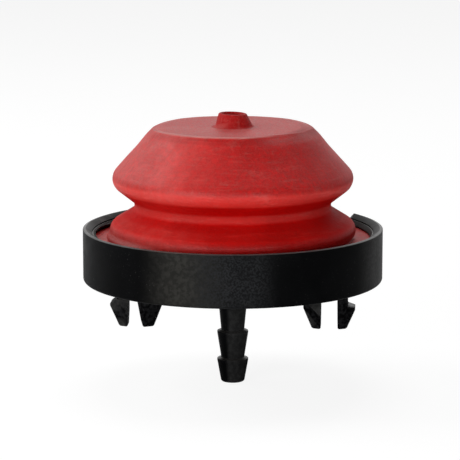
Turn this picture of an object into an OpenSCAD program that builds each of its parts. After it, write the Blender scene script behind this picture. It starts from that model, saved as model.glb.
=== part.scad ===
// Snap-in primer pump: a soft bulb clamped in a round housing that clips to a panel.
// Pushing the crown of the bulb drives air out through the hose barb.
// Origin: centre of the rim's seat on the panel. +Z runs up the bulb, the snap prongs
// stand in two pairs along X, and the notch in the rim faces +Y. Lengths in millimetres.

/* [Rim] */
// Outer diameter of the rim
rim_d = 54; // [50:0.5:62]
// Thickness of the rim wall around the retaining ring
rim_wall = 1.3; // [0.9:0.1:2]
// Thickness of the skirt wall below the floor
skirt_wall = 1.8; // [1.2:0.1:3]
// Height of the lip that stands above the retaining ring
lip_h = 0.8; // [0.5:0.1:1.4]
// Reach of the lip over the retaining ring
lip_reach = 0.45; // [0.2:0.05:0.7]
// Rounding of the rim's outer top edge
rim_round = 0.75; // [0.3:0.05:0.8]
// Chamfer of the rim's seat edge
seat_chamfer = 0.2; // [0.1:0.05:0.5]
// Width of the notch across the back of the rim
notch_w = 41; // [24:1:44]
// Depth of the notch below the top of the rim
notch_depth = 1.5; // [0.8:0.1:1.9]

/* [Floor] */
// Depth of the hollow between the panel and the floor
hollow_depth = 3.7; // [3:0.1:6]
// Thickness of the floor
floor_t = 1.8; // [1.4:0.1:3]
// Diameter of the boss around the hose barb
boss_d = 9; // [7.5:0.5:13]
// Gap between the boss and the panel
boss_lift = 0.6; // [0.2:0.1:1.2]
// Thickness of the ribs under the floor
rib_t = 1.2; // [0.8:0.1:2]
// Height of the ribs under the floor
rib_h = 2.2; // [1:0.1:2.6]

/* [Retaining ring] */
// Height of the retaining ring
ring_h = 1.2; // [1:0.1:2]
// Width of the retaining ring, outside to inside
ring_w = 1; // [0.8:0.1:1.6]
// Outward slope of the ring's inner face over its height
ring_flare = 0.4; // [0.1:0.05:0.5]
// Clearance around the retaining ring
ring_gap = 0.05; // [0.02:0.01:0.1]

/* [Bulb] */
// Wall thickness of the bulb
bulb_wall = 1.6; // [1.1:0.1:2.2]
// Thickness of the flange that the ring clamps
flange_t = 2; // [1.4:0.1:3]
// Clearance around the flange
flange_gap = 0.2; // [0.1:0.05:0.4]
// Width of the sealing bead under the flange
bead_w = 1.2; // [0.8:0.1:1.8]
// Depth of the sealing bead under the flange
bead_h = 0.6; // [0.3:0.1:0.9]
// Clearance around the sealing bead in its groove
bead_gap = 0.1; // [0.05:0.05:0.2]
// Diameter where the bulb leaves its flange
foot_d = 42.6; // [40:0.2:43.4]
// Diameter of the lower roll, to its sharp corner
roll_d = 46.3; // [44.5:0.1:46.8]
// Height of the lower roll's corner above the flange
roll_h = 2.1; // [1.9:0.1:2.6]
// Rounding of the lower roll
roll_round = 2; // [1:0.1:2.1]
// Height above the flange at which the still foot ends
foot_h = 1.6; // [1.2:0.1:1.8]
// Diameter of the neck, to its sharp corner
neck_d = 33.4; // [30:0.2:36]
// Height of the neck above the flange
neck_h = 6.1; // [5.4:0.1:6.8]
// Rounding of the neck
neck_round = 1.1; // [0.6:0.1:1.6]
// Diameter of the shoulder, to its sharp corner
shoulder_d = 45.5; // [42:0.1:48]
// Height of the shoulder's corner above the flange
shoulder_h = 10.56; // [9.6:0.1:12]
// Rounding of the shoulder
shoulder_round = 2.2; // [1.2:0.1:2.6]
// Diameter of the flat top, to its sharp corner
crown_d = 29; // [24:0.5:33]
// Height of the flat top above the flange
bulb_h = 20.2; // [18:0.1:23]
// Rounding of the edge of the flat top
crown_round = 1; // [0.3:0.1:1.6]

/* [Vent nub] */
// Diameter of the nub at the flat top
nub_base_d = 6.8; // [5.2:0.1:9]
// Diameter of the nub at its end
nub_top_d = 5; // [4.4:0.1:5.6]
// Height of the nub
nub_h = 2.4; // [1.2:0.1:3.4]
// Diameter of the dish in the nub's end
dish_d = 4; // [2.6:0.1:4.4]
// Depth of the dish in the nub's end
dish_depth = 0.7; // [0.3:0.1:1]
// Diameter of the vent hole that a fingertip closes
vent_d = 1.4; // [0.8:0.1:2.2]

/* [Hose barb] */
// Diameter of the barb's two crests
crest_d = 5.65; // [5:0.05:7]
// Diameter of the stem where it leaves the boss
stem_d = 6; // [4.8:0.1:6.6]
// Diameter just above each crest
neck_barb_d = 4.2; // [3.8:0.05:4.6]
// Diameter of the barb's tip
tip_d = 4.2; // [3.6:0.05:4.6]
// Depth of the first crest below the panel
crest_depth = 9.6; // [8:0.1:13]
// Distance from one crest to the next
crest_pitch = 5.1; // [4.2:0.1:6.5]
// Distance from the last crest to the tip
tip_length = 4.3; // [3:0.1:5.5]
// Length of the cylindrical land on each crest
crest_land = 0.4; // [0.2:0.05:0.6]
// Height of the sloped step above each crest
crest_step = 0.25; // [0.1:0.05:0.5]
// Rounding of the barb's tip
tip_round = 0.45; // [0.2:0.05:0.6]
// Diameter of the air passage
passage_d = 2.4; // [1.6:0.1:2.8]

/* [Snap prongs] */
// Distance from the rim's edge to the middle of each pair
pair_inset = 9.5; // [9.3:0.1:11]
// Gap between the two prongs of a pair
prong_gap = 2.85; // [2.6:0.05:3.6]
// Thickness of a prong
prong_t = 1.93; // [1.6:0.01:2.2]
// Width of a prong across Y
prong_w = 4.6; // [3.5:0.1:7]
// Reach of a hook beyond its prong
hook_reach = 1.32; // [0.9:0.01:1.6]
// Distance from the panel's seat to the hook's inner corner
grip_depth = 4.1; // [3:0.1:6]
// Drop of the hook's ledge from its inner to its outer corner
ledge_drop = 0.4; // [0:0.05:0.6]
// Length of the hook's vertical land
hook_land = 0.6; // [0.3:0.1:1]
// Length of the hook's lead-in slope, along Z
lead_h = 3.4; // [2.6:0.1:4]
// Thickness of a prong where the lead-in slope ends
lead_end_t = 1.78; // [1.2:0.02:1.9]
// Rounded length at the prong's end
prong_end = 0.5; // [0.3:0.1:0.9]
// Chamfer along both edges of the lead-in slope
lead_chamfer = 0.9; // [0.4:0.1:1.2]
// Height of the prongs' flexing root above the panel's seat
root_h = 1.2; // [0.8:0.1:1.6]
// Clearance around a prong's root in its seat
root_gap = 0.04; // [0.02:0.01:0.08]
// Wall of the block around the prongs' roots
block_wall = 1.2; // [0.8:0.1:2]

/* [Hidden] */

round_fn = 96;
arc_steps = 8;
// Overrun that keeps a cut's face off the surface it cuts
over = 1;

black = "#1b1c1d";
red = "#b3231f";

rim_r = rim_d / 2;
bore_r = rim_r - rim_wall;
lip_r = bore_r - lip_reach;
skirt_r = rim_r - skirt_wall;
passage_r = passage_d / 2;

// Levels above the panel's seat
z_under = hollow_depth;
z_floor = z_under + floor_t;
z_flange = z_floor + flange_t;
z_ring = z_flange + ring_h;
z_rim = z_ring + lip_h;
z_foot = z_flange + foot_h;
z_shoulder = z_flange + shoulder_h;
z_top = z_flange + bulb_h;

// The lip's underside slopes at 45 degrees and less, as far as the ring's height allows
lip_drop = min(lip_reach, ring_h / 3) * 0.8;
ring_r = bore_r - ring_gap;
ring_in_r = bore_r - ring_w;
ring_relief = ring_w * 0.3;

flange_r = bore_r - flange_gap;
foot_in_r = foot_d / 2 - bulb_wall;
// The bead runs midway between the bulb's foot and the flange's edge
bead_r = (foot_d / 2 + flange_r) / 2;

crest_r = crest_d / 2;
z_tip = -crest_depth - crest_pitch - tip_length;

// Sideways distance from the middle of a pair to the middle of each prong
prong_off = (prong_gap + prong_t) / 2;
root_r = prong_t / 2;
z_land = -grip_depth - ledge_drop;
z_lead = z_land - hook_land;
z_prong = z_lead - lead_h - prong_end;
block_x = prong_off * 2 + prong_t + 2 * block_wall;
block_y = prong_w + 2 * (root_gap + block_wall);

// The bulb's outer corners, each as [radius, height, rounding]
bulb_outer = [
    [foot_d / 2, z_flange, 0],
    [roll_d / 2, z_flange + roll_h, roll_round],
    [neck_d / 2, z_flange + neck_h, neck_round],
    [shoulder_d / 2, z_shoulder, shoulder_round],
    [crown_d / 2, z_top, crown_round],
    [0, z_top, 0]
];

function unit(v) = v / norm(v);
function spot(p) = [p[0], p[1]];
function left_of(v) = [-v[1], v[0]];
function turn(a, b, c) = cross(spot(b) - spot(a), spot(c) - spot(b));

// Corner i of a path, moved to the left of the path by d
function moved_spot(path, i, d) =
    let (last = len(path) - 1,
        before = unit(spot(path[max(i, 1)]) - spot(path[max(i, 1) - 1])),
        after = unit(spot(path[min(i, last - 1) + 1]) - spot(path[min(i, last - 1)])),
        side = unit(left_of(before) + left_of(after)))
    spot(path[i]) + side * d / (side * left_of(before));

// A path moved to its left by d, with each rounding kept concentric
function moved_path(path, d) =
    [for (i = [0:len(path) - 1])
        let (p = moved_spot(path, i, d),
            inner = i > 0 && i < len(path) - 1 && turn(path[i - 1], path[i], path[i + 1]) > 0,
            r = path[i][2])
        [p[0], p[1], r == 0 ? 0 : max(0, inner ? r - d : r + d)]];

// Points of the arc that rounds corner b between its neighbours a and c
function rounded(a, b, c) =
    b[2] == 0 ? [spot(b)] :
    let (p = spot(b),
        u = unit(spot(a) - p),
        v = unit(spot(c) - p),
        half = acos(u * v) / 2,
        centre = p + unit(u + v) * b[2] / sin(half),
        start = p + u * b[2] / tan(half) - centre,
        sweep = (turn(a, b, c) > 0 ? 1 : -1) * (180 - 2 * half))
    [for (k = [0:arc_steps])
        let (t = sweep * k / arc_steps)
        centre + [start[0] * cos(t) - start[1] * sin(t), start[0] * sin(t) + start[1] * cos(t)]];

// A path with its corners rounded, as plain points
function rounded_path(path) =
    [for (i = [0:len(path) - 1])
        let (last = len(path) - 1)
        each (i == 0 || i == last ? [spot(path[i])] : rounded(path[i - 1], path[i], path[i + 1]))];

function reversed(list) = [for (i = [len(list) - 1:-1:0]) list[i]];

// Half section of the whole bulb: shell, flange and sealing bead
module bulb_section() {
    outside = rounded_path(bulb_outer);
    inner_path = moved_path(bulb_outer, bulb_wall);
    inner_end = len(inner_path) - 1;
    // The inner wall starts at the underside of the flange and ends on the axis
    inner_corners = [for (i = [0:inner_end])
        i == 0 ? [foot_in_r, z_flange, 0] :
        i == inner_end ? [0, z_top - bulb_wall, 0] : inner_path[i]];
    polygon(concat(outside, reversed(rounded_path(inner_corners))));
    translate([foot_in_r, z_floor])
        square([flange_r - foot_in_r, flange_t]);
    translate([bead_r - bead_w / 2, z_floor - bead_h])
        square([bead_w, bead_h + flange_t / 2]);
}

// Slice of the bulb between two heights
module bulb_slice(low, high) {
    rotate_extrude($fn = round_fn)
        intersection() {
            bulb_section();
            translate([0, low])
                square([rim_r, high - low]);
        }
}

// Half section of the skirt, the rim wall and its lip
module rim_section() {
    polygon(concat(
        [[skirt_r, 0], [rim_r - seat_chamfer, 0], [rim_r, seat_chamfer]],
        rounded([rim_r, 0, 0], [rim_r, z_rim, rim_round], [0, z_rim, 0]),
        [[lip_r, z_ring], [bore_r, z_ring - lip_drop], [bore_r, z_floor], [skirt_r, z_floor]]));
}

// Centres of the four prongs' roots along X
function pair_x(side) = side * (rim_r - pair_inset);
function prong_x(side, place) = pair_x(side) + side * place * prong_off;

module housing_cup() {
    color(black)
        difference() {
            union() {
                rotate_extrude($fn = round_fn)
                    rim_section();
                translate([0, 0, z_under])
                    cylinder(h = floor_t, r = (bore_r + rim_r) / 2, $fn = round_fn);
                translate([0, 0, boss_lift])
                    cylinder(h = z_floor - boss_lift, d = boss_d, $fn = round_fn);
                floor_ribs();
                for (side = [-1, 1])
                    root_block(side);
            }
            translate([0, 0, boss_lift - over])
                cylinder(h = z_floor - boss_lift + 2 * over, r = passage_r, $fn = round_fn);
            seal_groove();
            for (side = [-1, 1], place = [-1, 1])
                root_seat(prong_x(side, place));
            rim_notch();
        }
}

// Two crossed ribs that join the boss, the root blocks and the skirt
module floor_ribs() {
    reach = skirt_r + rim_r;
    for (turn = [0, 90])
        rotate([0, 0, turn])
            translate([-reach / 2, -rib_t / 2, z_under - rib_h])
                cube([reach, rib_t, rib_h + floor_t / 2]);
}

// Block under the floor that carries one pair of prongs
module root_block(side) {
    translate([pair_x(side) - block_x / 2, -block_y / 2, root_h])
        cube([block_x, block_y, z_under - root_h + floor_t / 2]);
}

// Half-round seat for one prong's root
module root_seat(x) {
    seat_w = prong_w + 2 * root_gap;
    translate([x, seat_w / 2, root_h])
        rotate([90, 0, 0])
            cylinder(h = seat_w, r = root_r + root_gap, $fn = round_fn);
}

module seal_groove() {
    groove_w = bead_w + 2 * bead_gap;
    rotate_extrude($fn = round_fn)
        translate([bead_r - groove_w / 2, z_floor - bead_h - bead_gap])
            square([groove_w, bead_h + bead_gap + over]);
}

module rim_notch() {
    translate([-notch_w / 2, 0, z_rim - notch_depth])
        cube([notch_w, rim_d, notch_depth + over]);
}

module hose_barb() {
    // Each crest's step, land and taper, from the boss down
    crests = [for (k = [0, 1])
        let (z = -crest_depth - k * crest_pitch)
        each [[neck_barb_d / 2, z + crest_step], [crest_r, z], [crest_r, z - crest_land]]];
    tip = rounded([crest_r, z_tip + tip_length - crest_land, 0], [tip_d / 2, z_tip, tip_round],
        [0, z_tip, 0]);
    color(black)
        rotate_extrude($fn = round_fn)
            polygon(concat([[passage_r, boss_lift], [stem_d / 2, boss_lift]], crests, tip,
                [[passage_r, z_tip]]));
}

module retaining_ring() {
    // The ring's foot stands on the flange, and its inner edge is relieved
    color(black)
        rotate_extrude($fn = round_fn)
            polygon([
                [ring_in_r, z_flange + ring_relief],
                [ring_in_r + ring_relief, z_flange],
                [ring_r, z_flange],
                [ring_r, z_ring - lip_drop - ring_gap],
                [lip_r, z_ring - ring_gap],
                [ring_in_r + ring_flare, z_ring - ring_gap]
            ]);
}

module bulb_foot() {
    color(red)
        bulb_slice(z_floor - bead_h, z_foot);
}

module bulb_convolution() {
    color(red)
        bulb_slice(z_foot, z_shoulder);
}

module bulb_crown() {
    color(red)
        difference() {
            bulb_slice(z_shoulder, z_top);
            vent_hole();
        }
}

module vent_nub() {
    color(red)
        difference() {
            translate([0, 0, z_top])
                cylinder(h = nub_h, d1 = nub_base_d, d2 = nub_top_d, $fn = round_fn);
            translate([0, 0, z_top + nub_h - dish_depth])
                cylinder(h = dish_depth + over, d = dish_d, $fn = round_fn);
            vent_hole();
        }
}

module vent_hole() {
    translate([0, 0, z_top - bulb_wall - over])
        cylinder(h = bulb_wall + nub_h + 2 * over, d = vent_d, $fn = round_fn);
}

// One prong with its root on the Y axis and its hook towards +X
module prong() {
    hook_x = root_r + hook_reach;
    lead_x = lead_end_t - root_r;
    lead_angle = atan((hook_x - lead_x) / lead_h);
    difference() {
        union() {
            rotate([90, 0, 0])
                linear_extrude(prong_w, center = true)
                    polygon(concat(
                        [[-root_r, root_h], [-root_r, z_prong + prong_end]],
                        [for (k = [1:arc_steps])
                            let (t = 180 + 180 * k / arc_steps)
                            [lead_x + (lead_x + root_r) / 2 * (cos(t) - 1),
                                z_prong + prong_end * (1 + sin(t))]],
                        [[hook_x, z_lead], [hook_x, z_land], [root_r, -grip_depth],
                            [root_r, root_h]]));
            translate([0, prong_w / 2, root_h])
                rotate([90, 0, 0])
                    cylinder(h = prong_w, r = root_r, $fn = round_fn);
        }
        // The two long edges of the lead-in slope are chamfered down to the tip
        for (edge = [-1, 1])
            translate([hook_x, edge * prong_w / 2, z_lead])
                rotate([0, lead_angle, 0])
                    rotate([0, 0, 45])
                        cube([lead_chamfer, lead_chamfer, 3 * lead_h] * sqrt(2), center = true);
    }
}

// A prong in its place: side -1 is left and 1 right, place -1 is inner and 1 outer
module placed_prong(side, place) {
    color(black)
        translate([prong_x(side, place), 0, 0])
            mirror([side * place < 0 ? 1 : 0, 0, 0])
                prong();
}

module snap_prong_left_outer() {
    placed_prong(-1, 1);
}

module snap_prong_left_inner() {
    placed_prong(-1, -1);
}

module snap_prong_right_inner() {
    placed_prong(1, -1);
}

module snap_prong_right_outer() {
    placed_prong(1, 1);
}

housing_cup();
hose_barb();
retaining_ring();
bulb_foot();
bulb_convolution();
bulb_crown();
vent_nub();
snap_prong_left_outer();
snap_prong_left_inner();
snap_prong_right_inner();
snap_prong_right_outer();
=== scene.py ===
import math

import bmesh
import bpy
from mathutils import Matrix, Vector, noise


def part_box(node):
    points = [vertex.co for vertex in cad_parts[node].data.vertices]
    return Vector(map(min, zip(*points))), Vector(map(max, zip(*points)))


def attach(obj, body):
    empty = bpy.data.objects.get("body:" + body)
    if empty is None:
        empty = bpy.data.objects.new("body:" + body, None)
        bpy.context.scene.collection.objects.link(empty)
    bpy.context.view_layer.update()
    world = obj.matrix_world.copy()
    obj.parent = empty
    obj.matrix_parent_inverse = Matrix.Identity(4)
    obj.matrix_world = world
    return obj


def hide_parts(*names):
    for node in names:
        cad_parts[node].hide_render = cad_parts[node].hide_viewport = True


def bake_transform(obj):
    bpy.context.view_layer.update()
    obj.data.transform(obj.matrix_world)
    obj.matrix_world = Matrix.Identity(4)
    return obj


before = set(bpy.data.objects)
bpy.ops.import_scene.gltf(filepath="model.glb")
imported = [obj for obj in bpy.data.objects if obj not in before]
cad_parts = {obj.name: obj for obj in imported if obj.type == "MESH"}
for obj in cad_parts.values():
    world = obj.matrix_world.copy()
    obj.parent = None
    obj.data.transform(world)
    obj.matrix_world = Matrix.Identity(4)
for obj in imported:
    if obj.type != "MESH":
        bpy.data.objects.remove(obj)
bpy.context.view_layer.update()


# --------------------------------------------------------------------------------- Housing
# The base is one injection moulding in black nylon. Its rim stands round the bulb's flange,
# its floor closes the air chamber, and under the floor are the barb's boss, two crossed ribs
# and the blocks that carry the prongs. The back of the rim is cut down in a wide notch.
mm = 0.001
cup_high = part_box("housing_cup")[1]
ring_low, ring_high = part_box("retaining_ring")
rim_r = cup_high.x
rim_top = cup_high.z
flange_top = ring_low.z
bore_r = ring_high.x + 0.05 * mm
lip_r = bore_r - 0.45 * mm
lip_under = ring_high.z + 0.17 * mm
lip_slope = 0.36 * mm
skirt_r = rim_r - 1.8 * mm
wall_r = rim_r - 0.5 * mm
floor_top = flange_top - 2 * mm
floor_under = floor_top - 1.8 * mm
groove_in_r = 22.7 * mm
groove_out_r = 24.1 * mm
groove_depth = 0.7 * mm
boss_r = 4.5 * mm
boss_low = 0.6 * mm
passage_r = 1.2 * mm
rib_t = 1.2 * mm
rib_low = floor_under - 2.2 * mm
rib_sunk = 0.9 * mm
crest_in = 0.5 * mm
crest_fall = 0.17 * mm
notch_left = 19.7 * mm
notch_right = 20.6 * mm
notch_spread = 0.75
notch_low = rim_top - 1.5 * mm
notch_margin = 0.3 * mm
notch_break = 0.14 * mm
block_x = 17.5 * mm
block_size = Vector((9.11, 7.08, 4.0)) * mm
block_low = 1.2 * mm
ejector_r = 1.6 * mm
ejector_spread = 13 * mm
ejector_depth = 0.12 * mm
edge_round = 0.12 * mm
seat_round = 0.55 * mm
inner_fillet = 0.45 * mm
by_axis = 0.01 * mm
weld_gap = 0.002 * mm
close = 0.005 * mm


def rounded_outline(corners, longest, arc_turn=math.radians(9)):
    """A closed outline through corners of (radius, height, rounding), cut into short runs."""
    points = []
    for i, (r, z, rounding) in enumerate(corners):
        here = Vector((r, z))
        back = (Vector(corners[i - 1][:2]) - here).normalized()
        ahead = (Vector(corners[(i + 1) % len(corners)][:2]) - here).normalized()
        if rounding == 0:
            points.append(here)
            continue
        half = back.angle(ahead) / 2
        centre = here + (back + ahead).normalized() * (rounding / math.sin(half))
        start = here + back * (rounding / math.tan(half)) - centre
        end = here + ahead * (rounding / math.tan(half)) - centre
        first = math.atan2(start.y, start.x)
        sweep = (math.atan2(end.y, end.x) - first + math.pi) % math.tau - math.pi
        steps = max(2, math.ceil(abs(sweep) / arc_turn))
        for k in range(steps + 1):
            at = first + sweep * k / steps
            points.append(centre + rounding * Vector((math.cos(at), math.sin(at))))
    outline = []
    for i, here in enumerate(points):
        gap = points[(i + 1) % len(points)] - here
        if gap.length < 1e-7:
            continue
        runs = math.ceil(gap.length / longest)
        outline += [here + gap * k / runs for k in range(runs)]
    return outline


def new_piece(name, verts, faces):
    """A mesh object with its normals turned outwards."""
    mesh = bpy.data.meshes.new(name)
    mesh.from_pydata(verts, [], faces)
    made = bmesh.new()
    made.from_mesh(mesh)
    bmesh.ops.recalc_face_normals(made, faces=made.faces)
    made.to_mesh(mesh)
    made.free()
    piece = bpy.data.objects.new(name, mesh)
    bpy.context.scene.collection.objects.link(piece)
    return piece


def turned(name, outline, sides):
    """A closed ring-shaped mesh: the outline turned about the Z axis."""
    count = len(outline)
    verts = []
    for k in range(sides):
        at = math.tau * k / sides
        verts += [(p.x * math.cos(at), p.x * math.sin(at), p.y) for p in outline]
    faces = []
    for k in range(sides):
        near, far = k * count, (k + 1) % sides * count
        for i in range(count):
            j = (i + 1) % count
            faces.append((near + i, near + j, far + j, far + i))
    return new_piece(name, verts, faces)


def pin(name, radius, low, high):
    """A round pin on the Z axis, to cut with."""
    return turned(name, rounded_outline([
        (by_axis, low, 0), (radius, low, 0), (radius, high, 0), (by_axis, high, 0),
    ], longest=9 * mm), sides=48)


def softened_box(name, low, high, rounding):
    """A box with all its edges rounded."""
    made = bmesh.new()
    size = high - low
    bmesh.ops.create_cube(made, size=1, matrix=Matrix.Translation((low + high) / 2)
                          @ Matrix.Diagonal((*size, 1)))
    if rounding:
        bmesh.ops.bevel(made, geom=made.edges[:], offset=rounding, segments=2, profile=0.5,
                        affect="EDGES")
    mesh = bpy.data.meshes.new(name)
    made.to_mesh(mesh)
    made.free()
    piece = bpy.data.objects.new(name, mesh)
    bpy.context.scene.collection.objects.link(piece)
    return piece


def carved(piece, tool, operation):
    """The piece joined with, or cut by, a tool body, which is used up."""
    cut = piece.modifiers.new("cut", "BOOLEAN")
    cut.operation = operation
    cut.solver = "EXACT"
    cut.object = tool
    result = bpy.data.meshes.new_from_object(
        piece.evaluated_get(bpy.context.evaluated_depsgraph_get()))
    piece.modifiers.clear()
    piece.data = result
    bpy.data.objects.remove(tool)


def finished(piece, sharp_over=35):
    """Smooth shading with the sharper edges left crisp, and each point's place kept at rest.

    The materials read that place, so no finish slides over a part that moves or bends.
    """
    mesh = piece.data
    mesh.polygons.foreach_set("use_smooth", [True] * len(mesh.polygons))
    mesh.set_sharp_from_angle(angle=math.radians(sharp_over))
    places = mesh.attributes.new("place_at_rest", "FLOAT_VECTOR", "POINT")
    places.data.foreach_set("vector", [along for vert in mesh.vertices for along in vert.co])


housing = turned("housing", rounded_outline([
    (skirt_r, 0, edge_round),
    (rim_r, 0, seat_round),
    (rim_r, notch_low - notch_margin, 0),
    (rim_r, rim_top - crest_fall, edge_round),
    (rim_r - crest_in, rim_top, edge_round),
    (lip_r, lip_under, edge_round / 2),
    (bore_r, lip_under - lip_slope, 0),
    (bore_r, floor_top, 0),
    (groove_out_r, floor_top, 0),
    (groove_out_r, floor_top - groove_depth, 0),
    (groove_in_r, floor_top - groove_depth, 0),
    (groove_in_r, floor_top, 0),
    (passage_r, floor_top, edge_round),
    (passage_r, boss_low, 0),
    (boss_r, boss_low, edge_round),
    (boss_r, floor_under, inner_fillet),
    (skirt_r, floor_under, inner_fillet),
], longest=1.2 * mm), sides=240)

rib_reach = skirt_r + rib_sunk
for reach_x, reach_y in ((rib_t / 2, rib_reach), (rib_reach, rib_t / 2)):
    rib = softened_box("rib", Vector((-reach_x, -reach_y, rib_low)),
                       Vector((reach_x, reach_y, floor_under + rib_sunk)), edge_round)
    carved(housing, rib, "UNION")
for side in (-1, 1):
    centre = Vector((side * block_x, 0, block_low + block_size.z / 2))
    block = softened_box("block", centre - block_size / 2, centre + block_size / 2,
                         2 * edge_round)
    carved(housing, block, "UNION")

# The passage runs on through the boss, so what the ribs filled is opened again
carved(housing, pin("drill", passage_r, boss_low - mm, floor_top + mm), "DIFFERENCE")

notch = softened_box("notch", Vector((-notch_left, 0, notch_low)),
                     Vector((notch_right, rim_r + mm, rim_top + mm)), 0)
for vert in notch.data.vertices:
    vert.co.x += math.copysign(notch_spread * (vert.co.z - notch_low), vert.co.x)
carved(housing, notch, "DIFFERENCE")
for side_x in (-1, 1):
    for side_y in (-1, 1):
        mark = pin("mark", ejector_r, floor_under - mm, floor_under + ejector_depth)
        mark.data.transform(Matrix.Translation(
            (side_x * ejector_spread, side_y * ejector_spread, 0)))
        carved(housing, mark, "DIFFERENCE")

# The notch's cut edges are broken as the mould leaves them
made = bmesh.new()
made.from_mesh(housing.data)
bmesh.ops.remove_doubles(made, verts=made.verts, dist=weld_gap)


def on_notch(vert):
    """Whether a point lies on one of the notch's three cut faces."""
    at = vert.co
    half = (notch_right if at.x > 0 else notch_left) + notch_spread * (at.z - notch_low)
    on_floor = abs(at.z - notch_low) < close and abs(at.x) < half + close
    on_wall = abs(abs(at.x) - half) < close and at.z > notch_low - close
    return at.y > 0 and at.xy.length > lip_r - close and (on_floor or on_wall)


def sharp(edge, over=30):
    """Whether the faces at an edge turn by more than that many degrees."""
    return len(edge.link_faces) == 2 and edge.calc_face_angle() > math.radians(over)


broken = [e for e in made.edges if all(on_notch(v) for v in e.verts) and sharp(e)]
bmesh.ops.bevel(made, geom=broken, offset=notch_break, segments=2, profile=0.5,
                affect="EDGES", clamp_overlap=True)
made.to_mesh(housing.data)
made.free()
finished(housing)


def node(tree, kind, feeds=None, **settings):
    """A shader node; feeds gives its inputs, each a plain value or another node's output."""
    made = tree.nodes.new(kind)
    for name, value in settings.items():
        setattr(made, name, value)
    for name, value in (feeds or {}).items():
        if isinstance(value, bpy.types.NodeSocket):
            tree.links.new(value, made.inputs[name])
        else:
            made.inputs[name].default_value = value
    return made


def new_group(name, inputs, outputs):
    """An empty node group; returns its tree and its inputs' sockets by name."""
    tree = bpy.data.node_groups.new(name, "ShaderNodeTree")
    for title, value in inputs.items():
        socket = tree.interface.new_socket(name=title, in_out="INPUT",
                                           socket_type="NodeSocketFloat")
        socket.default_value = value
    for title in outputs:
        tree.interface.new_socket(name=title, in_out="OUTPUT", socket_type="NodeSocketFloat")
    return tree, tree.nodes.new("NodeGroupInput").outputs


def placed(tree, group, feeds):
    """One use of a node group, with its own values; returns its outputs by name."""
    made = tree.nodes.new("ShaderNodeGroup")
    made.node_tree = group
    for name, value in feeds.items():
        made.inputs[name].default_value = value
    return made.outputs


def math_node(tree, operation, a, b=0.0, clamp=False):
    """One sum on two values, each plain or an output."""
    return node(tree, "ShaderNodeMath", {0: a, 1: b}, operation=operation,
                use_clamp=clamp).outputs[0]


def times(tree, a, b):
    """Two values multiplied."""
    return math_node(tree, "MULTIPLY", a, b)


def ranged(tree, value, low, high, to_low=0.0, to_high=1.0):
    """A value mapped from one range to another with soft ends."""
    return node(tree, "ShaderNodeMapRange", {
        "Value": value, "From Min": low, "From Max": high, "To Min": to_low, "To Max": to_high,
    }, interpolation_type="SMOOTHSTEP").outputs["Result"]


def mixed(tree, share, a, b):
    """Two colours mixed by a share."""
    made = node(tree, "ShaderNodeMix", {0: share}, data_type="RGBA")
    for slot, value in ((6, a), (7, b)):
        if isinstance(value, bpy.types.NodeSocket):
            tree.links.new(value, made.inputs[slot])
        else:
            made.inputs[slot].default_value = (*value, 1)
    return made.outputs[2]


def resting_place(tree):
    """Where each point of the surface lies at rest."""
    return node(tree, "ShaderNodeAttribute", attribute_name="place_at_rest").outputs["Vector"]


def from_axis(tree, place):
    """A place's X, Y and Z by name, its level arm from the Z axis, and that arm's length."""
    split = node(tree, "ShaderNodeSeparateXYZ", {"Vector": place}).outputs
    arm = node(tree, "ShaderNodeCombineXYZ", {"X": split["X"], "Y": split["Y"]})
    arm = arm.outputs["Vector"]
    radius = node(tree, "ShaderNodeVectorMath", {0: arm}, operation="LENGTH")
    return split, arm, radius.outputs["Value"]


def upward(tree):
    """How far the surface looks up: 1 where it is level."""
    normal = node(tree, "ShaderNodeNewGeometry").outputs["Normal"]
    return node(tree, "ShaderNodeSeparateXYZ", {"Vector": normal}).outputs["Z"]


def clouds(tree, place, scale, detail, roughness=0.6, distortion=0.0):
    """Noise over the surface, at a scale in features per metre."""
    return node(tree, "ShaderNodeTexNoise", {
        "Vector": place, "Scale": scale, "Detail": detail, "Roughness": roughness,
        "Distortion": distortion}).outputs["Fac"]


# Fine grain, pale specks and slow mottling, as on any moulding that has been handled
moulded_grain, given = new_group(
    "Moulded Grain", {"Grain per m": 2600, "Specks": 0.5, "Mottle per m": 160},
    ["Height", "Specks", "Mottle"])
where = resting_place(moulded_grain)
patches = clouds(moulded_grain, where, given["Mottle per m"], 4, 0.55, 0.4)
dots = ranged(moulded_grain, clouds(moulded_grain, where, 3600, 1, 0.4), 0.68, 0.80)
dots = times(moulded_grain, dots, ranged(moulded_grain, patches, 0.42, 0.62))
node(moulded_grain, "NodeGroupOutput", {
    "Height": clouds(moulded_grain, where, given["Grain per m"], 3),
    "Specks": times(moulded_grain, dots, given["Specks"]),
    "Mottle": ranged(moulded_grain, patches, 0.3, 0.7)})

# Edges rubbed paler outside a radius, broken up by noise so that no line is even
rubbed_edges, given = new_group(
    "Rubbed Edges", {"From": 0.54, "To": 0.62, "Inside m": 0.0}, ["Mask"])
where = resting_place(rubbed_edges)
bend = node(rubbed_edges, "ShaderNodeNewGeometry").outputs["Pointiness"]
edge = times(rubbed_edges, ranged(rubbed_edges, bend, given["From"], given["To"]),
             ranged(rubbed_edges, clouds(rubbed_edges, where, 420, 3), 0.3, 0.62))
radius = from_axis(rubbed_edges, where)[2]
outer = math_node(rubbed_edges, "GREATER_THAN", radius, given["Inside m"])
node(rubbed_edges, "NodeGroupOutput", {"Mask": times(rubbed_edges, edge, outer)})

# Dust that settles on what faces up, thicker in patches
settled_dust, given = new_group("Settled Dust", {"Amount": 0.5, "Patches per m": 260}, ["Mask"])
patchy = clouds(settled_dust, resting_place(settled_dust), given["Patches per m"], 5, 0.62)
lying = times(settled_dust, ranged(settled_dust, upward(settled_dust), 0.72, 1.0),
              ranged(settled_dust, patchy, 0.25, 0.75, 0.55, 1.0))
node(settled_dust, "NodeGroupOutput", {"Mask": times(settled_dust, lying, given["Amount"])})

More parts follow.
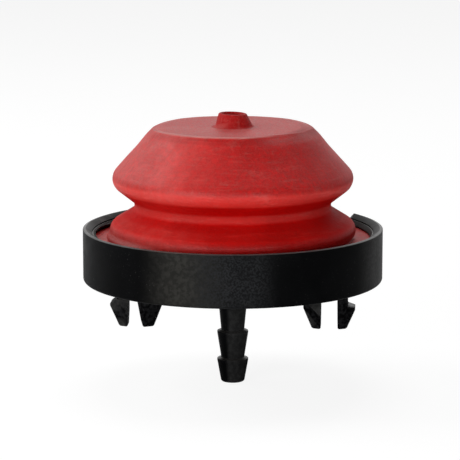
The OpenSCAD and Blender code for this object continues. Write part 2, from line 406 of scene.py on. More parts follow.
# Faces that look straight up are rubbed smooth by hands, so they gleam at a low angle
polished_tops, given = new_group("Polished Tops", {"Amount": 0.8}, ["Mask"])
patchy = clouds(polished_tops, resting_place(polished_tops), 380, 4)
smooth = times(polished_tops, ranged(polished_tops, upward(polished_tops), 0.86, 0.96),
               ranged(polished_tops, patchy, 0.3, 0.65, 0.6, 1.0))
node(polished_tops, "NodeGroupOutput", {"Mask": times(polished_tops, smooth, given["Amount"])})

# A patch round a heading and outside a radius, fullest on the tops of its grain; it serves for
# scuffs and also for painted light and painted shade
scuff_and_light_patch, given = new_group(
    "Scuff And Painted Light Patch", {"Heading": 0.0, "Reach": 0.3, "Core": 0.3, "Inside m": 0.026,
                      "Grain per m": 1300, "Least": 0.5}, ["Mask"])
where = resting_place(scuff_and_light_patch)
split, arm, radius = from_axis(scuff_and_light_patch, where)
angle = math_node(scuff_and_light_patch, "ARCTAN2", split["X"], times(scuff_and_light_patch, split["Y"], -1))
off = math_node(scuff_and_light_patch, "ABSOLUTE",
                math_node(scuff_and_light_patch, "SUBTRACT", angle, given["Heading"]))
off = math_node(scuff_and_light_patch, "DIVIDE", off, given["Reach"])
mask = times(scuff_and_light_patch, ranged(scuff_and_light_patch, off, given["Core"], 1.0, 1.0, 0.0),
             math_node(scuff_and_light_patch, "GREATER_THAN", radius, given["Inside m"]))
cloudy = clouds(scuff_and_light_patch, where, 240, 5)
mask = times(scuff_and_light_patch, mask, ranged(scuff_and_light_patch, cloudy, 0.3, 0.65, 0.72, 1.0))
tops = clouds(scuff_and_light_patch, where, given["Grain per m"], 3)
mask = times(scuff_and_light_patch, mask, ranged(scuff_and_light_patch, tops, 0.4, 0.62, given["Least"], 1.0))
node(scuff_and_light_patch, "NodeGroupOutput", {"Mask": mask})


def patch(tree, heading, reach, core, inside, grain, least):
    """A patch round a heading in degrees, 0 in front, full over its core's share, for scuffs and
    also for painted light and shade.
    """
    return placed(tree, scuff_and_light_patch, {
        "Heading": math.radians(heading), "Reach": math.radians(reach), "Core": core,
        "Inside m": inside, "Grain per m": grain, "Least": least})["Mask"]


def nylon(name, body, worn, rough=0.36, level=0.035, rubbed_from=0, scuff_and_light_patches=()):
    """Satin black nylon in its moulded grain, its edges rubbed from a radius on outwards.

    Each patch is a heading, reach, core, radius, grain and least share, and a colour; on some
    parts the patches are scuffs, on others painted light and shade.
    """
    made = bpy.data.materials.new(name)
    made.use_nodes = True
    tree = made.node_tree
    shader = tree.nodes["Principled BSDF"]
    grain = placed(tree, moulded_grain, {"Grain per m": 2600, "Specks": 0.55,
                                         "Mottle per m": 170})
    rubbed = placed(tree, rubbed_edges, {"From": 0.53, "To": 0.63, "Inside m": rubbed_from})
    dust = placed(tree, settled_dust, {"Amount": 0.2, "Patches per m": 300})
    polish = placed(tree, polished_tops, {"Amount": 0.75})
    colour = mixed(tree, grain["Mottle"], body, [c * 1.5 for c in body])
    for *place, patch_colour in scuff_and_light_patches:
        colour = mixed(tree, patch(tree, *place), colour, patch_colour)
    colour = mixed(tree, times(tree, rubbed["Mask"], 0.3), colour, worn)
    colour = mixed(tree, grain["Specks"], colour, (0.06, 0.06, 0.055))
    colour = mixed(tree, dust["Mask"], colour, (0.13, 0.12, 0.11))
    tree.links.new(colour, shader.inputs["Base Color"])
    uneven = math_node(tree, "ADD", ranged(tree, grain["Mottle"], 0, 1, rough, rough + 0.08),
                       times(tree, grain["Specks"], 0.2))
    tree.links.new(uneven, shader.inputs["Roughness"])
    shader.inputs["Specular IOR Level"].default_value = level
    tree.links.new(polish["Mask"], shader.inputs["Coat Weight"])
    shader.inputs["Coat Roughness"].default_value = 0.28
    bump = node(tree, "ShaderNodeBump", {"Height": grain["Height"], "Strength": 0.35,
                                         "Distance": 0.03 * mm})
    tree.links.new(bump.outputs["Normal"], shader.inputs["Normal"])
    return made


nylon_black = (0.0009, 0.001, 0.0012)
nylon_worn = (0.12, 0.12, 0.11)
# The first two patches on the wall's front are painted reflections of the two low lamps in
# front; the third lightens the wall's right side
housing_nylon = nylon("black_nylon", nylon_black, nylon_worn, rubbed_from=skirt_r - 0.5 * mm,
                      scuff_and_light_patches=((-14.5, 20, 0.1, wall_r, 1300, 0.6, (0.033, 0.032, 0.0285)),
                              (3, 18.5, 0.42, wall_r, 2900, 0.3, (0.020, 0.021, 0.0225)),
                              (82, 26, 0.3, wall_r, 1800, 0.6, (0.05, 0.05, 0.05))))
housing.data.materials.clear()
housing.data.materials.append(housing_nylon)
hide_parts("housing_cup")
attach(housing, "housing")


# ------------------------------------------------------------------------------- Hose barb
# The barb is moulded in one with the housing. Its stem comes out of the boss with a small
# fillet, and two tapered crests grip a rubber hose that is pushed on over the rounded tip.
barb_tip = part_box("hose_barb")[0].z
crest_r = 2.82 * mm
stem_r = 3 * mm
stem_flare = 0.5 * mm
stem_fillet = 0.55 * mm
throat_r = 2.1 * mm
tip_r = 2.1 * mm
first_crest = -9.6 * mm
crest_pitch = 5.1 * mm
crest_land = 0.3 * mm
crest_step = 0.25 * mm
crest_break = 0.08 * mm

barb_corners = [(passage_r, boss_low, 0), (stem_r + stem_flare, boss_low, 0),
                (stem_r, boss_low - stem_flare, stem_fillet)]
for crest in (first_crest, first_crest - crest_pitch):
    barb_corners += [(throat_r, crest + crest_step, 0.1 * mm), (crest_r, crest, crest_break),
                     (crest_r, crest - crest_land, 0.25 * mm)]
barb_corners += [(tip_r, barb_tip, 0.42 * mm), (passage_r, barb_tip, 0.15 * mm)]
barb = turned("barb", rounded_outline(barb_corners, longest=0.7 * mm), sides=96)
finished(barb)
# The patch on the barb's front right is painted light
barb_nylon = nylon("barb_nylon", nylon_black, nylon_worn,
                   scuff_and_light_patches=((22, 50, 0.6, 0, 1600, 0.6, (0.024, 0.024, 0.024)),))
barb.data.materials.append(barb_nylon)
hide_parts("hose_barb")
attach(barb, "housing")


# ------------------------------------------------------------------------------ Snap prongs
# Two pairs of prongs, also part of the nylon moulding, hold the pump in its panel. Each has a
# hook that points away from its partner, a long lead-in slope with a broad chamfer on each
# side, and a root that bends when the hooks pass through their slot.
prong_w = 4.6 * mm
prong_t = 1.93 * mm
hook_reach = 1.32 * mm
ledge_low = -4.55 * mm
lead_top = -5 * mm
lead_low = -8.5 * mm
lead_end_t = 1.7 * mm
lead_round = 0.2 * mm
hook_round = 0.12 * mm
ledge_round = 0.15 * mm
chamfer_reach = 1.55 * mm
chamfer_depth = 0.8 * mm
chamfer_foot = -6.55 * mm
chamfer_lift = 0.1 * mm
end_round = 0.5 * mm
end_draft = 0.1 * mm
flare_left = 0.12
prong_break = 0.1 * mm
root_top = 1.2 * mm
root_sunk = 0.3 * mm
root_fillet = 0.4 * mm
flex_end = -2.6 * mm
point_snap = 0.0002936 * mm
flex_rows = 10


def in_order(made):
    """A body's points and faces in order of place, as its cuts leave them in no set order."""
    places = {vert: tuple(round(along / point_snap) * point_snap for along in vert.co)
              for vert in made.verts}
    points = sorted(places.values())
    number = {place: i for i, place in enumerate(points)}
    faces = []
    for face in made.faces:
        loop = [number[places[vert]] for vert in face.verts]
        start = loop.index(min(loop))
        faces.append(loop[start:] + loop[:start])
    return points, sorted(faces)


def snap_prong(name, x, hook_side, ledge_drop, sag, flare):
    """A prong at x with its hook on that side; flare widens its flat side up to the root.

    The ledge starts lower at the stem by its drop, and sag lowers the hook's outer edge.
    """
    half = prong_t / 2
    hook_x = half + hook_reach
    end_x = lead_end_t - half
    low = lead_low - end_round
    ledge_in = ledge_low + ledge_drop
    corners = [
        (-half - flare, root_top, 0),
        (-half - flare_left * flare + end_draft, low, end_round * 0.8),
        (end_x, low, end_round),
        (hook_x, lead_top - sag, lead_round),
        (hook_x, ledge_low - sag, hook_round),
        (half, ledge_in, ledge_round),
        (half, root_top - root_fillet, root_fillet),
        (half + root_fillet, root_top, 0),
        (half + root_fillet, root_top + root_sunk, 0),
        (-half - flare, root_top + root_sunk, 0)]
    outline = [Vector((x + hook_side * p.x, 0, p.y))
               for p in rounded_outline(corners, longest=9 * mm)]
    made = bmesh.new()
    front = [made.verts.new(p - Vector((0, prong_w / 2, 0))) for p in outline]
    face = made.faces.new(front)
    grown = bmesh.ops.extrude_face_region(made, geom=[face])["geom"]
    bmesh.ops.translate(made, vec=(0, prong_w, 0),
                        verts=[g for g in grown if isinstance(g, bmesh.types.BMVert)])
    bmesh.ops.recalc_face_normals(made, faces=made.faces)

    def sliced(corner, along, across):
        """Everything beyond the plane through a corner and two directions is cut away."""
        facing = along.cross(across).normalized()
        if facing.dot(corner - Vector((x, 0, corner.z))) < 0:
            facing.negate()
        cut = bmesh.ops.bisect_plane(
            made, geom=made.verts[:] + made.edges[:] + made.faces[:],
            plane_co=corner, plane_no=facing, clear_outer=True)
        rim = [g for g in cut["geom_cut"] if isinstance(g, bmesh.types.BMEdge)]
        bmesh.ops.contextual_create(made, geom=rim)

    for face_y in (-1, 1):
        start = Vector((x + hook_side * (hook_x - chamfer_reach), face_y * prong_w / 2,
                        lead_top + chamfer_lift))
        foot = Vector((x - hook_side * half, face_y * prong_w / 2, chamfer_foot))
        hook = Vector((x + hook_side * hook_x, face_y * (prong_w / 2 - chamfer_depth), lead_top))
        sliced(start, foot - start, hook - start)
        if flare:
            root = Vector((x - hook_side * half, face_y * prong_w / 2, root_top))
            tip = Vector((x - hook_side * half, face_y * prong_w / 2, low))
            side = Vector((x - hook_side * (half + flare), face_y * prong_w / 4, root_top))
            sliced(root, tip - root, side - root)
    bmesh.ops.recalc_face_normals(made, faces=made.faces)
    crisp = [e for e in made.edges
             if sharp(e, 18) and all(v.co.z < root_top for v in e.verts)]
    bmesh.ops.bevel(made, geom=crisp, offset=prong_break, segments=2, profile=0.5,
                    affect="EDGES", clamp_overlap=True)
    # Rows of points where the root bends
    for k in range(flex_rows + 1):
        height = root_top + (flex_end - root_top) * k / flex_rows - by_axis
        bmesh.ops.bisect_plane(made, geom=made.verts[:] + made.edges[:] + made.faces[:],
                               plane_co=(0, 0, height), plane_no=(0, 0, 1))
    piece = new_piece(name, *in_order(made))
    made.free()
    finished(piece, 30)
    return piece


prong_nylon = nylon("prong_nylon", (0.0009, 0.0009, 0.0011), (0.1, 0.1, 0.095),
                    rough=0.5, level=0.012,
                    scuff_and_light_patches=((0, 360, 0.9, 0, 1300, 0.0, (0.0125, 0.0125, 0.0135)),))
for side_name, side, place_name, place, ledge_drop, sag, flare in (
        ("left", -1, "outer", 1, 0.85 * mm, 0, 0),
        ("left", -1, "inner", -1, 0.5 * mm, 0, 2.2 * mm),
        ("right", 1, "inner", -1, 0.5 * mm, 0, 0),
        ("right", 1, "outer", 1, 0, 0.3 * mm, 0)):
    body = f"prong_{side_name}_{place_name}"
    low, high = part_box("snap_" + body)
    hook_side = side * place
    root_x = (low.x if hook_side > 0 else high.x) + hook_side * prong_t / 2
    prong = snap_prong(f"{side_name}_{place_name}_prong", root_x, hook_side, ledge_drop, sag,
                       flare)
    prong.data.materials.append(prong_nylon)
    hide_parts("snap_" + body)
    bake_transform(prong)


# ------------------------------------------------------------------------------------ Bulb
# The bulb is one soft moulding in red rubber with a dusty bloom. From its clamped flange it
# rises in a round lower roll, a pinched neck and a wide shoulder to a cone with a flat top,
# where a nub with a dished vent hole takes the fingertip. Handling has left it a little uneven.
foot_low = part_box("bulb_foot")[0]
crown_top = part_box("bulb_crown")[1].z
shoulder_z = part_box("bulb_crown")[0].z
nub_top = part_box("vent_nub")[1].z
bulb_wall = 1.6 * mm
flange_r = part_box("bulb_foot")[1].x
foot_r = 21.3 * mm
foot_in_r = foot_r - bulb_wall
bead_in_r = 22.8 * mm
bead_out_r = 24.0 * mm
crown_r = 14.5 * mm
nub_base_r = 3.4 * mm
nub_r = 2.5 * mm
dish_r = 2.05 * mm
dish_low = nub_top - 0.75 * mm
vent_r = 0.7 * mm
nub_lean = 0.2 * mm
nub_tilt = math.radians(2.6)
sway = 0.09 * mm
ripple = 0.03 * mm
top_waves = 0.05 * mm
crown_soft = 0.3 * mm
corner_heading = math.radians(-35)
corner_worn = 1.0 * mm
foot_heading = math.radians(205)
foot_spread = 1.1 * mm

# The wall's outer corners from the flange up, each with its rounding: the foot, the lower
# roll, the neck, the shoulder, the slight bend of the cone and the edge of the flat top
wall_outside = [
    (foot_r, flange_top, 0.12 * mm),
    (23.15 * mm, flange_top + 2.1 * mm, 1.95 * mm),
    (16.8 * mm, flange_top + 6.05 * mm, 1.15 * mm),
    (22.7 * mm, shoulder_z + 0.12 * mm, 2.3 * mm),
    (17.25 * mm, flange_top + 16.7 * mm, 14 * mm),
    (crown_r, crown_top, 0.35 * mm),
]


def parallel(corners, wall):
    """The same corners moved inwards by the wall, with concentric roundings."""
    moved = []
    ends = [(corners[0][0], corners[0][1] - mm)] + corners + [(0, corners[-1][1])]
    for before, here, after in zip(ends, ends[1:], ends[2:]):
        spot = Vector(here[:2])
        come = (spot - Vector(before[:2])).normalized()
        go = (Vector(after[:2]) - spot).normalized()
        side = (come.orthogonal() + go.orthogonal()).normalized()
        shift = side * (wall / side.dot(come.orthogonal()))
        turn_left = come.cross(go) > 0
        rounding = here[2] - wall if turn_left else here[2] + wall
        moved.append((*(spot + shift), max(0, rounding)))
    return moved


inside = parallel(wall_outside, bulb_wall)
inside[0] = (foot_in_r, floor_top, 0)
bulb_corners = [
    (flange_r, floor_top, 0.1 * mm), (flange_r, flange_top, 0.3 * mm), *wall_outside,
    (nub_base_r, crown_top, 0.7 * mm), (nub_r, nub_top, 0.32 * mm),
    (dish_r, nub_top, 0.1 * mm), (dish_r - 0.3 * mm, dish_low, 0.25 * mm),
    (vent_r, dish_low, 0.08 * mm), (vent_r, crown_top - bulb_wall, 0),
    *reversed(inside),
    (bead_in_r, floor_top, 0), (bead_in_r, foot_low.z, 0.15 * mm),
    (bead_out_r, foot_low.z, 0.15 * mm), (bead_out_r, floor_top, 0)]
bulb = turned("bulb", rounded_outline(bulb_corners, longest=0.5 * mm), sides=288)


def eased(value, low, high):
    """0 below low, 1 above high, and smooth between."""
    t = min(1, max(0, (value - low) / (high - low)))
    return t * t * (3 - 2 * t)


for vert in bulb.data.vertices:
    at = vert.co
    rise = eased(at.z, flange_top, shoulder_z)
    heading = math.atan2(at.y, at.x)
    round_about = Vector((math.cos(heading), math.sin(heading)))
    slow = noise.noise(Vector((*round_about, at.z / (9 * mm))) * 1.7)
    quick = noise.noise(Vector((*(round_about * 9), at.z / (3 * mm))))
    outwards = min(1, at.xy.length / (6 * mm))
    at.xy += round_about * (rise * outwards * (sway * slow + ripple * quick))
    # At the front left the foot spreads out into the flange instead of tucking under the roll
    spread = eased(math.cos(heading - foot_heading), 0.75, 0.97) * (
        1 - eased(at.z, flange_top + 0.2 * mm, flange_top + 1.7 * mm)) * (
        eased(at.xy.length, foot_r - 0.7 * mm, foot_r - 0.2 * mm)) * (
        1 - eased(at.xy.length, foot_r + 0.4 * mm, foot_r + 2.8 * mm))
    at.xy += round_about * (foot_spread * spread)
    # The edge of the flat top is crisp in front and behind and rolls over softly at the sides
    soft = 1 - eased(abs(round_about.y), 0.2, 0.75)
    from_edge = (Vector((at.xy.length, at.z)) - Vector((crown_r, crown_top))).length
    at.z -= crown_soft * soft * math.exp(-(from_edge / (1.3 * mm)) ** 2)
    worn_corner = eased(math.cos(heading - corner_heading), 0.72, 0.97) * math.exp(
        -(from_edge / (1.4 * mm)) ** 2)
    at.xy -= round_about * (corner_worn * worn_corner)
    # The nub's foot stands off to one side, and its end is not quite level
    at.x += nub_lean * (1 - eased(at.z, crown_top, nub_top)) * (
        eased(at.z, crown_top - 0.3 * mm, crown_top)) * (
        1 - eased(at.xy.length, nub_base_r, nub_base_r + 2 * mm))
    up_nub = eased(at.z, crown_top + 0.3 * mm, nub_top)
    at.z -= at.x * up_nub * math.tan(nub_tilt)
    waves = noise.noise(Vector((at.x, at.y, 0)) / (5 * mm))
    at.z += eased(at.z, crown_top - mm, crown_top) * top_waves * waves
finished(bulb)

# Streaks and scuffs that run round the axis, where the bulb turned against its mould
turned_streaks, given = new_group(
    "Turned Streaks", {"Round": 3.0, "Across per m": 900, "From": 0.55, "To": 0.75}, ["Mask"])
split, arm, radius = from_axis(turned_streaks, resting_place(turned_streaks))
heading = node(turned_streaks, "ShaderNodeVectorMath", {0: arm}, operation="NORMALIZE")
heading = node(turned_streaks, "ShaderNodeVectorMath",
               {0: heading.outputs["Vector"], "Scale": given["Round"]}, operation="SCALE")
height = times(turned_streaks, split["Z"], given["Across per m"])
up = node(turned_streaks, "ShaderNodeCombineXYZ", {"Z": height}).outputs["Vector"]
spot = node(turned_streaks, "ShaderNodeVectorMath", {0: heading.outputs["Vector"], 1: up})
out = times(turned_streaks, radius, given["Across per m"])
lines = node(turned_streaks, "ShaderNodeTexNoise",
             {"Vector": spot.outputs["Vector"], "W": out, "Scale": 1, "Detail": 4,
              "Roughness": 0.6}, noise_dimensions="4D")
node(turned_streaks, "NodeGroupOutput", {"Mask": ranged(
    turned_streaks, lines.outputs["Fac"], given["From"], given["To"])})

# A band round the axis between two heights and two radii, with soft limits
turned_zone, given = new_group(
    "Turned Zone", {"Low": 0.0, "High": 0.03, "Inside": 0.0, "Outside": 0.03, "Soft": 0.001},
    ["Mask"])
split, arm, radius = from_axis(turned_zone, resting_place(turned_zone))
mask = 1.0
for value, least, most in ((split["Z"], given["Low"], given["High"]),
                           (radius, given["Inside"], given["Outside"])):
    full_from = math_node(turned_zone, "ADD", least, given["Soft"])
    full_to = math_node(turned_zone, "SUBTRACT", most, given["Soft"])
    mask = times(turned_zone, mask, ranged(turned_zone, value, least, full_from))
    mask = times(turned_zone, mask, ranged(turned_zone, value, full_to, most, 1.0, 0.0))
node(turned_zone, "NodeGroupOutput", {"Mask": mask})

# Powdery bloom that sits in the pores of the rubber, in specks of two sizes
powder, given = new_group("Powder", {"Fine per m": 4200, "Coarse per m": 1300}, ["Mask", "Tone"])
where = resting_place(powder)
fine = clouds(powder, where, given["Fine per m"], 2)
coarse = clouds(powder, where, given["Coarse per m"], 4, 0.65)
node(powder, "NodeGroupOutput", {
    "Mask": times(powder, ranged(powder, fine, 0.36, 0.68),
                  ranged(powder, coarse, 0.34, 0.66, 0.25, 1.0)),
    "Tone": ranged(powder, coarse, 0.3, 0.7)})


def zone(tree, low, high, inside, outside, soft):
    """A band round the axis between two heights and two radii, with limits of that softness."""
    return placed(tree, turned_zone, {"Low": low, "High": high, "Inside": inside,
                                      "Outside": outside, "Soft": soft})["Mask"]


red_rubber = bpy.data.materials.new("red_rubber")
red_rubber.use_nodes = True
tree = red_rubber.node_tree
shader = tree.nodes["Principled BSDF"]
grain = placed(tree, moulded_grain, {"Grain per m": 2500, "Specks": 0.25, "Mottle per m": 120})
streaks = placed(tree, turned_streaks, {"Round": 4, "Across per m": 1500, "From": 0.5,
                                        "To": 0.7})["Mask"]
scratches = placed(tree, turned_streaks, {"Round": 7, "Across per m": 420, "From": 0.56,
                                          "To": 0.7})["Mask"]
specks = placed(tree, powder, {"Fine per m": 4200, "Coarse per m": 1300})
dust = placed(tree, settled_dust, {"Amount": 0.4, "Patches per m": 180})["Mask"]
nub_rim_wear_and_highlight = placed(tree, rubbed_edges, {"From": 0.52, "To": 0.6})["Mask"]
folds = zone(tree, flange_top - 0.2 * mm, shoulder_z - 0.5 * mm, -mm, 22.8 * mm, 1.6 * mm)
clamped = zone(tree, flange_top - mm, flange_top + 1.2 * mm, 21.3 * mm, 28 * mm, 0.4 * mm)
foot = zone(tree, flange_top + 0.2 * mm, flange_top + 3 * mm, 20 * mm, 25 * mm, 0.9 * mm)
roll_top = zone(tree, flange_top + 2.2 * mm, flange_top + 4.9 * mm, 19 * mm, 24 * mm, mm)
neck = zone(tree, flange_top + 5.2 * mm, flange_top + 7.3 * mm, -mm, 19.6 * mm, 0.7 * mm)
shoulder = zone(tree, shoulder_z - 3.1 * mm, shoulder_z + 0.9 * mm, 20 * mm, 26 * mm, 0.9 * mm)
tucked = zone(tree, crown_top - 1.4 * mm, crown_top - 0.2 * mm, crown_r - 0.3 * mm,
              crown_r + 2 * mm, 0.35 * mm)
rolled = zone(tree, crown_top - 0.25 * mm, crown_top + 0.6 * mm, crown_r - mm,
              crown_r + 0.3 * mm, 0.15 * mm)
crown_edge = zone(tree, crown_top - 1.6 * mm, crown_top + mm, 11.5 * mm, 17 * mm, 1.1 * mm)
nub = zone(tree, crown_top - 0.5 * mm, nub_top + mm, -mm, 4 * mm, 0.4 * mm)
# Painted light: a pale haze and highlight on the left, and a brighter red on the lit front left
left_haze_and_highlight = patch(tree, -52, 52, 0.3, 3 * mm, 500, 0.6)
lit_front_left = patch(tree, -20, 32, 0.15, 15 * mm, 700, 0.6)
# Painted shade on the right side of the top's edge
right_edge_shade = times(tree, patch(tree, 80, 38, 0.3, 12.2 * mm, 900, 0.7), crown_edge)
open_faces = math_node(tree, "SUBTRACT", 1.0, folds)

red_deep = (0.50, 0.0022, 0.0018)
red_pale = (0.60, 0.0040, 0.0032)
red_pores = [c * 0.7 for c in red_deep]
red_painted_shade = [c * 0.6 for c in red_deep]
red_painted_light = (0.84, 0.038, 0.03)
red_lit_front_left = (0.85, 0.05, 0.045)
red_darker_nub = (0.41, 0.004, 0.004)
red_right_side_shade = (0.24, 0.03, 0.026)
bloom = (0.60, 0.22, 0.19)
pale_haze_and_highlight = (0.78, 0.30, 0.26)
painted_neck_highlight = (0.75, 0.32, 0.28)
painted_edge_highlight = (0.85, 0.45, 0.41)
pale_nub_rim = (0.72, 0.34, 0.30)
grey_dust = (0.49, 0.25, 0.235)


def streaky(mask, least, most):
    """A mask at a lesser share, and at a greater one along the rubber's streaks."""
    return times(tree, mask, ranged(tree, streaks, 0, 0.8, least, most))


# The rubber itself; painted light on the shoulder's band and a painted highlight on the roll's
# top, painted shade on the lower roll near the rim, a painted highlight along the neck, and a
# darker red on the nub
colour = mixed(tree, grain["Mottle"], red_deep, red_pale)
pores = times(tree, specks["Tone"], ranged(tree, folds, 0, 1, 0.8, 0.3))
colour = mixed(tree, pores, colour, red_pores)
colour = mixed(tree, streaky(shoulder, 0.72, 0.95), colour, red_painted_light)
colour = mixed(tree, streaky(roll_top, 0.12, 0.3), colour, red_painted_light)
colour = mixed(tree, times(tree, foot, 0.6), colour, red_painted_shade)
colour = mixed(tree, streaky(neck, 0.07, 0.12), colour, painted_neck_highlight)
colour = mixed(tree, nub, colour, red_darker_nub)

# Bloom in streaks, scratches and pores on the open faces; a brighter red on the front left that
# is painted light; and a pale haze on the left that is partly bloom and partly a painted
# highlight
marks = math_node(tree, "ADD", times(tree, streaks, 0.085), times(tree, scratches, 0.1))
marks = math_node(tree, "ADD", marks, times(tree, specks["Mask"], 0.1))
colour = mixed(tree, times(tree, marks, open_faces), colour, bloom)
lit_front_left = times(tree, lit_front_left, ranged(tree, open_faces, 0, 1, 0.0, 0.34))
colour = mixed(tree, lit_front_left, colour, red_lit_front_left)
haze_and_highlight_share = math_node(tree, "ADD", ranged(tree, open_faces, 0, 1, 0.03, 0.13),
                  times(tree, roll_top, 0.055))
colour = mixed(tree, times(tree, left_haze_and_highlight, haze_and_highlight_share), colour, pale_haze_and_highlight)

# Dust lies on what faces up, but less in the folds, on the nub, the flange and the right side of
# the top's edge, which has painted shade instead
lying = times(tree, dust, ranged(tree, specks["Mask"], 0, 0.8, 0.3, 1.4))
swept = math_node(tree, "ADD", times(tree, folds, 0.85), nub)
swept = math_node(tree, "ADD", swept,
                  times(tree, clamped, ranged(tree, left_haze_and_highlight, 0, 1, 0.6, 0.1)))
swept = math_node(tree, "ADD", swept, times(tree, right_edge_shade, 0.7))
dusty = times(tree, lying, math_node(tree, "SUBTRACT", 1.0, swept, True))
colour = mixed(tree, dusty, colour, grey_dust)
# Painted shade on the right side of the top's edge
colour = mixed(tree, times(tree, right_edge_shade, 0.5), colour, red_right_side_shade)

# The flat top's edge: painted shade just under it, and a painted highlight along it except on
# the right side, which has painted shade
colour = mixed(tree, times(tree, tucked, 0.3), colour, red_painted_shade)
edge_highlight = times(tree, streaky(rolled, 0.24, 0.4), math_node(tree, "SUBTRACT", 1.0, right_edge_shade))
colour = mixed(tree, edge_highlight, colour, painted_edge_highlight)
# The nub's rim is paler: partly rubbed wear, partly a painted highlight
nub_rim_wear_and_highlight = times(tree, nub_rim_wear_and_highlight, ranged(tree, nub, 0, 1, 0.0, 0.3))
colour = mixed(tree, nub_rim_wear_and_highlight, colour, pale_nub_rim)
tree.links.new(colour, shader.inputs["Base Color"])

# Handled faces have a soft sheen that the folds and the nub lack
tree.links.new(ranged(tree, grain["Mottle"], 0, 1, 0.5, 0.62), shader.inputs["Roughness"])
shader.inputs["Specular IOR Level"].default_value = 0.03
handled = math_node(tree, "SUBTRACT", open_faces, times(tree, nub, 0.6), True)
sheen = times(tree, handled, ranged(tree, grain["Mottle"], 0, 1, 0.42, 0.56))
tree.links.new(sheen, shader.inputs["Coat Weight"])
shader.inputs["Coat Roughness"].default_value = 0.46
relief = math_node(tree, "ADD", grain["Height"], times(tree, streaks, 0.5))
relief = math_node(tree, "ADD", relief, times(tree, specks["Tone"], 0.8))
relief = times(tree, relief, ranged(tree, folds, 0, 1, 1.0, 0.5))
bump = node(tree, "ShaderNodeBump", {"Height": relief, "Strength": 0.8,
                                     "Distance": 0.1 * mm})
tree.links.new(bump.outputs["Normal"], shader.inputs["Normal"])
bulb.data.materials.append(red_rubber)
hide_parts("bulb_foot", "bulb_convolution", "bulb_crown", "vent_nub")
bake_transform(bulb)


# -------------------------------------------------------------------------- Retaining ring
# A stiff nylon ring snaps in under the rim's lip and clamps the bulb's flange to the floor.
# It shows as a narrow grey band round the flange, with a dark seam under the lip.
ring_in_r = bore_r - mm
ring_foot = 0.3 * mm
ring_flare = 0.4 * mm
ring_lift_heading = math.radians(190)
ring_lift = 0.75 * mm
retaining_ring = turned("clamp_ring", rounded_outline([
    (ring_in_r, flange_top + ring_foot, 0.08 * mm),
    (ring_in_r + ring_foot, flange_top, 0),
    (ring_high.x, flange_top, 0.05 * mm),
    (ring_high.x, ring_high.z - lip_slope, 0),
    (lip_r, ring_high.z, 0.05 * mm),
    (ring_in_r + ring_flare, ring_high.z, 0.1 * mm),
], longest=0.6 * mm), sides=240)
for vert in retaining_ring.data.vertices:
    at = vert.co
    lifted = eased(math.cos(math.atan2(at.y, at.x) - ring_lift_heading), 0.72, 0.97) * (
        1 - eased(at.xy.length, ring_in_r + 0.25 * mm, ring_in_r + 0.6 * mm)) * (
        1 - eased(at.z, flange_top + 0.2 * mm, ring_high.z - 0.2 * mm))
    at.z += ring_lift * lifted
finished(retaining_ring)
ring_nylon = nylon("ring_nylon", (0.03, 0.029, 0.027), (0.14, 0.14, 0.13))
retaining_ring.data.materials.append(ring_nylon)
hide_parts("retaining_ring")
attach(retaining_ring, "housing")


# ------------------------------------------------------------- Floor, daylight, lamps, camera
# The pump stands on the end of its barb on a plain pale sheet, in a white room, with two wide
# soft lamps low in front, a higher one at the left and one overhead.
floor_z = barb_tip
floor_reach = 3.0
floor_corners = [(x * floor_reach, y * floor_reach, floor_z)
                 for x, y in ((-1, -1), (1, -1), (1, 1), (-1, 1))]
sheet = new_piece("floor", floor_corners, [(0, 1, 2, 3)])
white_sheet = bpy.data.materials.new("white_sheet")
white_sheet.use_nodes = True
tree = white_sheet.node_tree
tree.nodes.clear()
path = node(tree, "ShaderNodeLightPath").outputs
texture = node(tree, "ShaderNodeTexNoise", {"Scale": 40, "Detail": 3})
paper = mixed(tree, texture.outputs["Fac"], (0.86, 0.86, 0.86), (0.84, 0.84, 0.85))
lit = node(tree, "ShaderNodeBsdfDiffuse", {"Color": paper})
shaded = node(tree, "ShaderNodeBsdfDiffuse", {"Color": (0.22, 0.22, 0.22, 1)})
glow = node(tree, "ShaderNodeEmission", {"Color": (1, 1, 1, 1), "Strength": 0.88})
seen = node(tree, "ShaderNodeAddShader", {0: shaded.outputs[0], 1: glow.outputs[0]})
surface = node(tree, "ShaderNodeMixShader", {0: path["Is Camera Ray"], 1: lit.outputs[0],
                                             2: seen.outputs[0]})
clear = node(tree, "ShaderNodeBsdfTransparent")
below = node(tree, "ShaderNodeNewGeometry").outputs["Backfacing"]
surface = node(tree, "ShaderNodeMixShader", {0: below, 1: surface.outputs[0],
                                             2: clear.outputs[0]})
node(tree, "ShaderNodeOutputMaterial", {"Surface": surface.outputs[0]})
sheet.data.materials.append(white_sheet)

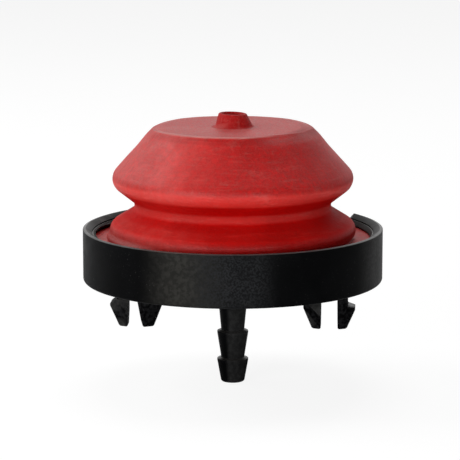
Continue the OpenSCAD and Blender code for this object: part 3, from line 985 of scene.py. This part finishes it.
world = bpy.data.worlds.new("white_room")
bpy.context.scene.world = world
world.use_nodes = True
tree = world.node_tree
tree.nodes.clear()
path = node(tree, "ShaderNodeLightPath").outputs
plain = math_node(tree, "MAXIMUM", path["Is Camera Ray"], path["Is Glossy Ray"])
plain = math_node(tree, "MAXIMUM", plain, path["Is Transmission Ray"])
room_light = 0.06
strength = ranged(tree, plain, 0, 1, room_light, 1.0)
room = node(tree, "ShaderNodeBackground", {"Color": (1, 1, 1, 1), "Strength": strength})
node(tree, "ShaderNodeOutputWorld", {"Surface": room.outputs[0]})

lamp_away = 0.6
lamp_size = 0.36
lit_height = 10 * mm


def soft_lamp(name, azimuth, elevation, power):
    """A square lamp that looks at the bulb; azimuth 0 is in front, positive to the right."""
    data = bpy.data.lights.new(name, "AREA")
    data.size = lamp_size
    data.energy = power
    lamp = bpy.data.objects.new(name, data)
    bpy.context.scene.collection.objects.link(lamp)
    a = math.radians(azimuth)
    e = math.radians(elevation)
    away = Vector((math.sin(a) * math.cos(e), -math.cos(a) * math.cos(e), math.sin(e)))
    lamp.location = Vector((0, 0, lit_height)) + away * lamp_away
    lamp.rotation_euler = away.to_track_quat("Z", "Y").to_euler()


soft_lamp("key_lamp", azimuth=-32, elevation=1, power=2.9)
soft_lamp("front_lamp", azimuth=18, elevation=-5, power=2.1)
soft_lamp("side_lamp", azimuth=-105, elevation=35, power=1.3)
soft_lamp("top_lamp", azimuth=180, elevation=70, power=1.15)

camera_turn = math.radians(3.5)
camera_pitch = 0.1796
camera_away = 443.08 * mm
camera_height = 89.32 * mm
camera_shift = 0.5 * mm
camera = bpy.data.objects.new("camera", bpy.data.cameras.new("camera"))
bpy.context.scene.collection.objects.link(camera)
camera.data.sensor_width = 36
camera.data.lens = 195.5
camera.location = (
    camera_away * math.sin(camera_turn) - camera_shift * math.cos(camera_turn),
    -camera_away * math.cos(camera_turn) - camera_shift * math.sin(camera_turn), camera_height)
camera.rotation_euler = (math.pi / 2 - camera_pitch, 0, camera_turn)
bpy.context.scene.camera = camera
bpy.context.scene.view_settings.view_transform = "Standard"
